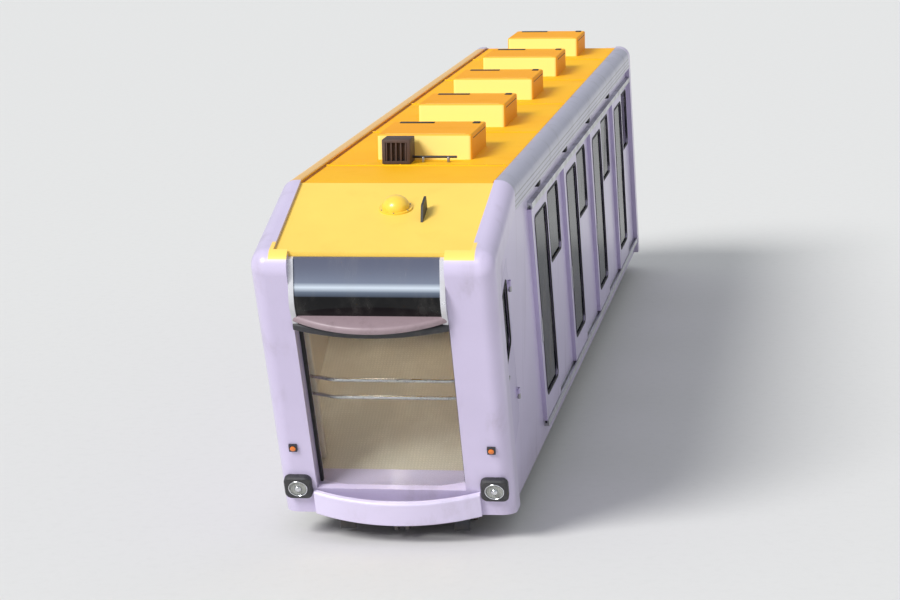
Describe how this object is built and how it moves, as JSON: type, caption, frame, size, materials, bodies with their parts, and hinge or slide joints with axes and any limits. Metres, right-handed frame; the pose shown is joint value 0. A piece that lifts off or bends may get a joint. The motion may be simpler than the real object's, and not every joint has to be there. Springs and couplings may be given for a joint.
{
  "type": "funicular car",
  "caption": "Stepped funicular car: parallelogram body with plumb ends, roof hoods, sliding side doors, bogies with double-flanged wheels and flat rollers.",
  "frame": {"origin": "centre of the car's box, on the ground plane under the wheel flanges", "axes": "+X uphill along the rails, +Y to the door side, +Z square to the rails; the cabin's plumb line leans by the 28 degree slope"},
  "size_m": [16.7435, 2.12, 3.5138],
  "materials": {
    "lilac_paint": "gloss paint",
    "roof_paint": "gloss paint",
    "cornice_paint": "gloss paint",
    "glass": "clear",
    "dark_glass": "dark",
    "steel": "satin paint",
    "bare_steel": "turned",
    "stainless": "brushed",
    "floor": "studded",
    "seat": "moulded",
    "bezel": "matt",
    "lens": "clear",
    "case": "satin paint"
  },
  "bodies": {
    "car": {"aerial_fin": "bezel", "beacon_dome": "roof_paint", "benches": "seat", "bumpers": "lilac_paint", "cab_door_hinges": "steel", "chassis_beams": "steel", "chassis_bolsters": "steel", "chassis_cross_members": "steel", "chassis_headstocks": "steel", "chassis_posts": "steel", "cornice_left": "cornice_paint", "cornice_right": "cornice_paint", "door_runner_foot": "stainless", "door_runner_top": "stainless", "equipment_cases": "case", "forehead_panel": "roof_paint", "grab_poles": "stainless", "handrails": "stainless", "headlamp_lenses": "lens", "headlamps": "bezel", "portal_lower": "lilac_paint", "portal_upper": "lilac_paint", "rail_guards": "steel", "roof_grille_box": "bezel", "roof_hoods": "roof_paint", "roof_panel": "roof_paint", "side_wall_left": "lilac_paint", "side_wall_right": "lilac_paint", "step_floor": "floor", "track_brakes_lower": "steel", "track_brakes_upper": "steel", "visor_glass_upper": "dark_glass", "visor_lip_upper": "lilac_paint", "visor_trims_upper": "stainless", "windows_left": "glass", "windows_right": "glass", "windscreen_lower": "glass", "windscreen_upper": "glass"},
    "wheelset_upper_a": {"wheelset_upper_a": "bare_steel"},
    "wheelset_upper_b": {"wheelset_upper_b": "bare_steel"},
    "wheelset_lower_a": {"wheelset_lower_a": "bare_steel"},
    "wheelset_lower_b": {"wheelset_lower_b": "bare_steel"},
    "bogie_upper": {"bogie_frame_upper": "steel", "bogie_springs_upper": "steel"},
    "bogie_lower": {"bogie_frame_lower": "steel", "bogie_springs_lower": "steel"},
    "door_1": {"door_1_glass": "glass", "door_1_leaf": "lilac_paint"},
    "door_2": {"door_2_glass": "glass", "door_2_leaf": "lilac_paint"},
    "door_3": {"door_3_glass": "glass", "door_3_leaf": "lilac_paint"},
    "door_4": {"door_4_glass": "glass", "door_4_leaf": "lilac_paint"},
    "door_5": {"door_5_glass": "glass", "door_5_leaf": "lilac_paint"}
  },
  "joints": [
    {"name": "door_2_slide", "type": "slide", "parent": "car", "child": "door_2", "axis": [-1, 0, 0], "range_m": [0, 1.3]},
    {"name": "door_3_slide", "type": "slide", "parent": "car", "child": "door_3", "axis": [-1, 0, 0], "range_m": [0, 1.3]},
    {"name": "door_4_slide", "type": "slide", "parent": "car", "child": "door_4", "axis": [-1, 0, 0], "range_m": [0, 1.3]},
    {"name": "door_5_slide", "type": "slide", "parent": "car", "child": "door_5", "axis": [-1, 0, 0], "range_m": [0, 1.3]},
    {"name": "door_1_hinge", "type": "hinge", "parent": "car", "child": "door_1", "pos_m": [6.23706, 1.021, 0.99038], "axis": [0.4695, 0, 0.8829], "range_deg": [0, 100]},
    {"name": "bogie_upper_swivel", "type": "hinge", "parent": "car", "child": "bogie_upper", "pos_m": [5.47658, 0, 0.334], "axis": [0, 0, 1], "range_deg": [-2, 2]},
    {"name": "wheelset_upper_a_spin", "type": "hinge", "parent": "bogie_upper", "child": "wheelset_upper_a", "pos_m": [6.17658, 0, 0.334], "axis": [0, 1, 0], "continuous": true},
    {"name": "wheelset_upper_b_spin", "type": "hinge", "parent": "bogie_upper", "child": "wheelset_upper_b", "pos_m": [4.77658, 0, 0.334], "axis": [0, 1, 0], "continuous": true},
    {"name": "bogie_lower_swivel", "type": "hinge", "parent": "car", "child": "bogie_lower", "pos_m": [-6.60762, 0, 0.334], "axis": [0, 0, 1], "range_deg": [-2, 2]},
    {"name": "wheelset_lower_a_spin", "type": "hinge", "parent": "bogie_lower", "child": "wheelset_lower_a", "pos_m": [-5.90762, 0, 0.334], "axis": [0, 1, 0], "continuous": true},
    {"name": "wheelset_lower_b_spin", "type": "hinge", "parent": "bogie_lower", "child": "wheelset_lower_b", "pos_m": [-7.30762, 0, 0.334], "axis": [0, 1, 0], "continuous": true}
  ]
}
